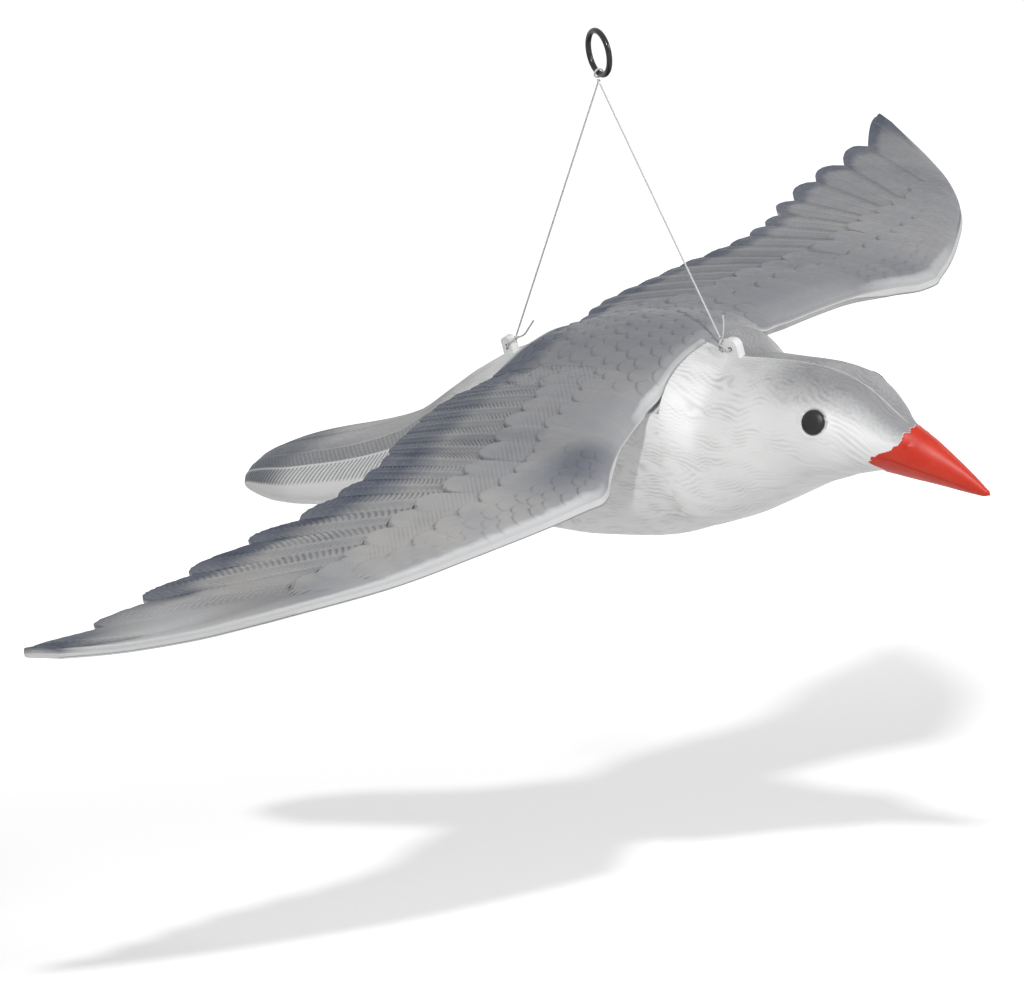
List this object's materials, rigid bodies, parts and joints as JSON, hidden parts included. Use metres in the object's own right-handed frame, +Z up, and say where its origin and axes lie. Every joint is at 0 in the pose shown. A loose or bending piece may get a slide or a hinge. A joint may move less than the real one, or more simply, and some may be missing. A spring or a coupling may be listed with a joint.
{
  "type": "hanging seagull decoy",
  "caption": "Flying gull decoy with spread wings, hung nose up from a ring on a two-legged cord bridle tied to lugs on its back.",
  "frame": {"origin": "top of the ring's hole, where the ring hangs on its hook", "axes": "+Z up, +X towards the beak, +Y towards the left wing"},
  "size_m": [0.3796, 0.5746, 0.273],
  "materials": {
    "body_plastic": "satin, white with grey feather ripples, beak painted orange-red",
    "wing_grey": "satin grey with darker feather edges",
    "wing_white": "satin off-white",
    "eye_black": "gloss black",
    "ring_black": "gloss black",
    "cord_white": "white twisted cord"
  },
  "bodies": {
    "ring": {"hanging_ring": "ring_black"},
    "loop": {"bridle_loop": "cord_white"},
    "knot": {"bridle_knot": "cord_white"},
    "bridle": {"bridle_leg_front": "cord_white", "bridle_leg_rear": "cord_white"},
    "bird": {"body_shell_left": "body_plastic", "body_shell_right": "body_plastic", "wing_shell_upper": "wing_grey", "wing_shell_lower": "wing_white", "eye_left": "eye_black", "eye_right": "eye_black", "lug_knot_front": "cord_white", "lug_knot_rear": "cord_white"}
  },
  "joints": [
    {"name": "loop_swing", "type": "hinge", "parent": "ring", "child": "loop", "pos_m": [0, 0, -0.0168], "axis": [0.9063, -0.4226, 0], "range_deg": [-45, 45]},
    {"name": "knot_swing", "type": "hinge", "parent": "loop", "child": "knot", "pos_m": [0, 0, -0.0203], "axis": [0.4226, 0.9063, 0], "range_deg": [-30, 30]},
    {"name": "bridle_turn", "type": "hinge", "parent": "knot", "child": "bridle", "pos_m": [0, 0, -0.0203], "axis": [0, 0, 1], "continuous": true},
    {"name": "bird_bank", "type": "hinge", "parent": "bridle", "child": "bird", "pos_m": [-0.04177, 0, -0.15108], "axis": [0.9521, 0, 0.3057], "range_deg": [-40, 40]}
  ]
}
